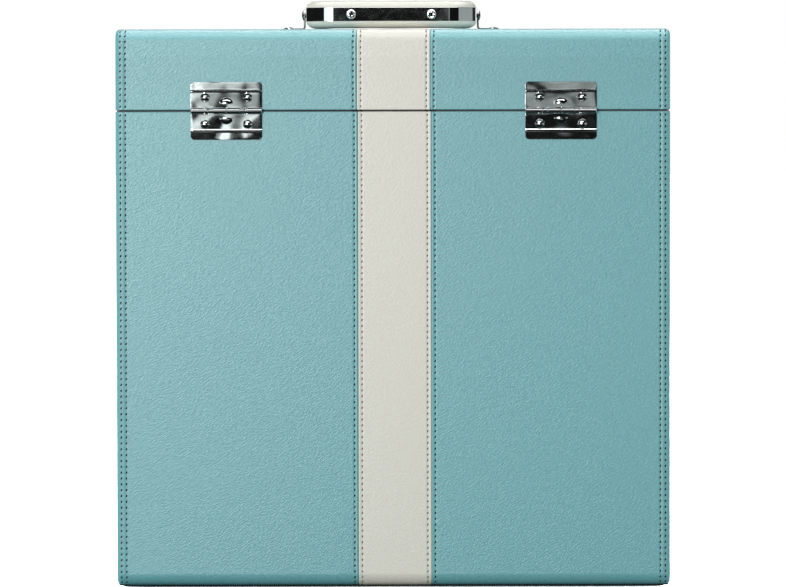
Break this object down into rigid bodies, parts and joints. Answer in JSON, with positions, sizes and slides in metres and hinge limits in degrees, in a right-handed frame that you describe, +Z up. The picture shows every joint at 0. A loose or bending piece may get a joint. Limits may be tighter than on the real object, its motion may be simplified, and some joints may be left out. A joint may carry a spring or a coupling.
{
  "type": "record carrying case",
  "caption": "Upright box case for twelve-inch records, with a hinged lid, draw latches and a folding padded handle.",
  "frame": {"origin": "middle of the base, on the surface it stands on", "axes": "+Z up; +X across the case's width; -Y is the hinge side, which the picture shows, and +Y the latch side"},
  "size_m": [0.35, 0.1857, 0.3706],
  "materials": {
    "blue_leatherette": "teal-blue grained leatherette, satin",
    "cream_leatherette": "cream grained leatherette, satin",
    "board": "raw plywood board",
    "lining": "dark cloth-faced lining board",
    "grip_core": "shaped wood core under padding",
    "chrome": "bright nickel and chrome plate",
    "steel": "plain steel pin"
  },
  "bodies": {
    "case_body": {"body_bottom_board": "board", "body_back_board": "board", "body_front_board": "board", "body_left_board": "board", "body_right_board": "board", "body_left_wrap": "blue_leatherette", "body_right_wrap": "blue_leatherette", "body_stripe": "cream_leatherette", "body_left_side_cover": "blue_leatherette", "body_right_side_cover": "blue_leatherette", "body_floor_liner": "lining", "body_back_liner": "lining", "body_front_liner": "lining", "body_left_liner": "lining", "body_right_liner": "lining", "left_hinge_body_leaf": "chrome", "left_hinge_pin": "steel", "left_hinge_body_rivet_left": "chrome", "left_hinge_body_rivet_right": "chrome", "right_hinge_body_leaf": "chrome", "right_hinge_pin": "steel", "right_hinge_body_rivet_left": "chrome", "right_hinge_body_rivet_right": "chrome", "left_latch_base": "chrome", "right_latch_base": "chrome"},
    "lid": {"lid_top_board": "board", "lid_back_board": "board", "lid_front_board": "board", "lid_left_board": "board", "lid_right_board": "board", "lid_left_wrap": "blue_leatherette", "lid_right_wrap": "blue_leatherette", "lid_stripe": "cream_leatherette", "lid_left_side_cover": "blue_leatherette", "lid_right_side_cover": "blue_leatherette", "lid_liner": "lining", "left_hinge_lid_leaf": "chrome", "left_hinge_lid_rivet_left": "chrome", "left_hinge_lid_rivet_right": "chrome", "right_hinge_lid_leaf": "chrome", "right_hinge_lid_rivet_left": "chrome", "right_hinge_lid_rivet_right": "chrome", "handle_left_bracket": "chrome", "handle_right_bracket": "chrome", "handle_left_pivot_screw": "chrome", "handle_right_pivot_screw": "chrome", "handle_left_bracket_rivet": "chrome", "handle_right_bracket_rivet": "chrome", "left_latch_keeper": "chrome", "right_latch_keeper": "chrome"},
    "handle": {"handle_core": "grip_core", "handle_cover": "cream_leatherette", "handle_band": "chrome", "handle_band_screw_left": "chrome", "handle_band_screw_right": "chrome"},
    "left_lever": {"left_latch_lever": "chrome"},
    "left_claw": {"left_latch_claw": "chrome"},
    "right_lever": {"right_latch_lever": "chrome"},
    "right_claw": {"right_latch_claw": "chrome"}
  },
  "joints": [
    {"name": "lid_hinge", "type": "hinge", "parent": "case_body", "child": "lid", "pos_m": [0, -0.0871, 0.3005], "axis": [1, 0, 0], "range_deg": [0, 105]},
    {"name": "handle_fold", "type": "hinge", "parent": "lid", "child": "handle", "pos_m": [-0.0009, 0, 0.3616], "axis": [-1, 0, 0], "range_deg": [0, 180]},
    {"name": "left_lever_lift", "type": "hinge", "parent": "case_body", "child": "left_lever", "pos_m": [-0.1055, 0.09, 0.2845], "axis": [1, 0, 0], "range_deg": [0, 100]},
    {"name": "left_claw_swing", "type": "hinge", "parent": "left_lever", "child": "left_claw", "pos_m": [-0.1055, 0.08896, 0.27859], "axis": [1, 0, 0], "range_deg": [-110, 0]},
    {"name": "right_lever_lift", "type": "hinge", "parent": "case_body", "child": "right_lever", "pos_m": [0.1055, 0.09, 0.2845], "axis": [1, 0, 0], "range_deg": [0, 100]},
    {"name": "right_claw_swing", "type": "hinge", "parent": "right_lever", "child": "right_claw", "pos_m": [0.1055, 0.08896, 0.27859], "axis": [1, 0, 0], "range_deg": [-110, 0]}
  ],
  "couplings": [
    {"joint": "left_claw_swing", "follows": "left_lever_lift", "ratio": -1.1},
    {"joint": "right_claw_swing", "follows": "right_lever_lift", "ratio": -1.1}
  ]
}
